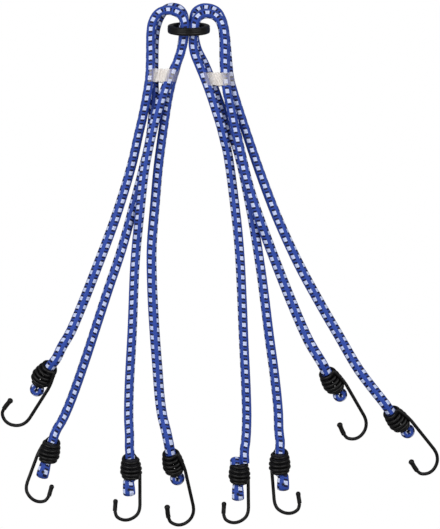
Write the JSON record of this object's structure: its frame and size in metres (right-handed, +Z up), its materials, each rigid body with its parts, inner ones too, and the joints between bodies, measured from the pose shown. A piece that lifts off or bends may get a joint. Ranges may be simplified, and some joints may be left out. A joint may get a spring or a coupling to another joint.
{
  "type": "spider bungee strap",
  "caption": "Elastic luggage cords looped through one ring, each arm ending in a coated wire hook wound round the folded cord end, lying spread on a table.",
  "frame": {"origin": "on the table, under the middle of the box round the hooks, ring and bands", "axes": "+X to the right and +Y towards the loops, as the strap lies with its hooks nearest; +Z up from the table"},
  "size_m": [0.3719, 0.4443, 0.0354],
  "materials": {
    "cord_sheath": "braided sheath with white and navy checks",
    "wire_coating": "dipped coating, satin",
    "ring_plastic": "moulded, satin",
    "clear_film": "clear film"
  },
  "bodies": {
    "root": {"cord_left_upper": "cord_sheath", "cord_left_lower": "cord_sheath", "cord_right_upper": "cord_sheath", "cord_right_lower": "cord_sheath", "hook_1": "wire_coating", "tip_cap_1": "wire_coating", "folded_end_1": "cord_sheath", "hook_2": "wire_coating", "tip_cap_2": "wire_coating", "folded_end_2": "cord_sheath", "hook_3": "wire_coating", "tip_cap_3": "wire_coating", "folded_end_3": "cord_sheath", "hook_4": "wire_coating", "tip_cap_4": "wire_coating", "folded_end_4": "cord_sheath", "hook_5": "wire_coating", "tip_cap_5": "wire_coating", "folded_end_5": "cord_sheath", "hook_6": "wire_coating", "tip_cap_6": "wire_coating", "folded_end_6": "cord_sheath", "hook_7": "wire_coating", "tip_cap_7": "wire_coating", "folded_end_7": "cord_sheath", "hook_8": "wire_coating", "tip_cap_8": "wire_coating", "folded_end_8": "cord_sheath", "tucked_end_5": "cord_sheath", "ring": "ring_plastic", "band_left": "clear_film", "band_right": "clear_film"}
  },
  "joints": []
}
